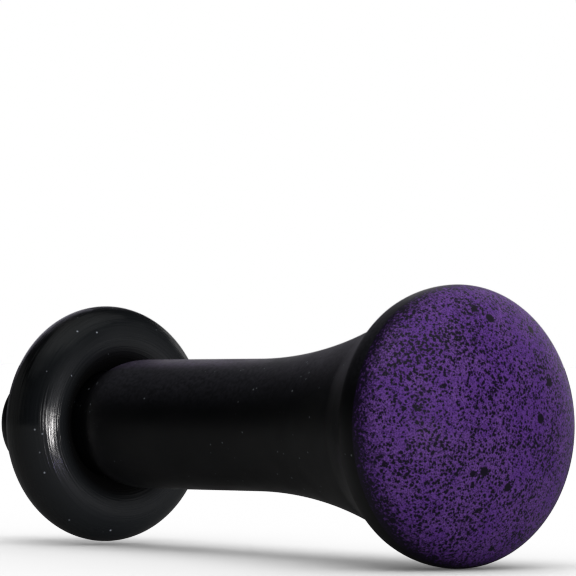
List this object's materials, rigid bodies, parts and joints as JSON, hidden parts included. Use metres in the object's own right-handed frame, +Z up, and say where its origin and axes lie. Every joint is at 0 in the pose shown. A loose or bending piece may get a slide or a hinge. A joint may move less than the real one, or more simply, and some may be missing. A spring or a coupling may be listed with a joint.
{
  "type": "ear plug",
  "caption": "Single-flare ear plug for a stretched lobe: round barrel widening to a domed speckled head, with a rubber retaining ring on its narrower tail.",
  "frame": {"origin": "on the plug's axis, in the middle of the length that the lobe covers", "axes": "+X along the plug's axis from tail to speckled face, +Z up"},
  "size_m": [0.0178, 0.0066, 0.0066],
  "materials": {
    "frosted_black_glass": "opaque black glass, frosted to a soft satin, with a faint purple haze along the barrel",
    "speckled_purple_glass": "satin purple with dense fine black specks, fading to black at the rounded rim",
    "black_rubber": "satin moulded rubber with faint lines round the section"
  },
  "bodies": {
    "plug": {"plug_body": "frosted_black_glass", "speckled_face": "speckled_purple_glass"},
    "ring": {"o_ring": "black_rubber"}
  },
  "joints": [
    {"name": "ring_slide", "type": "slide", "parent": "plug", "child": "ring", "axis": [-1, 0, 0], "range_m": [0, 0.0042]}
  ]
}
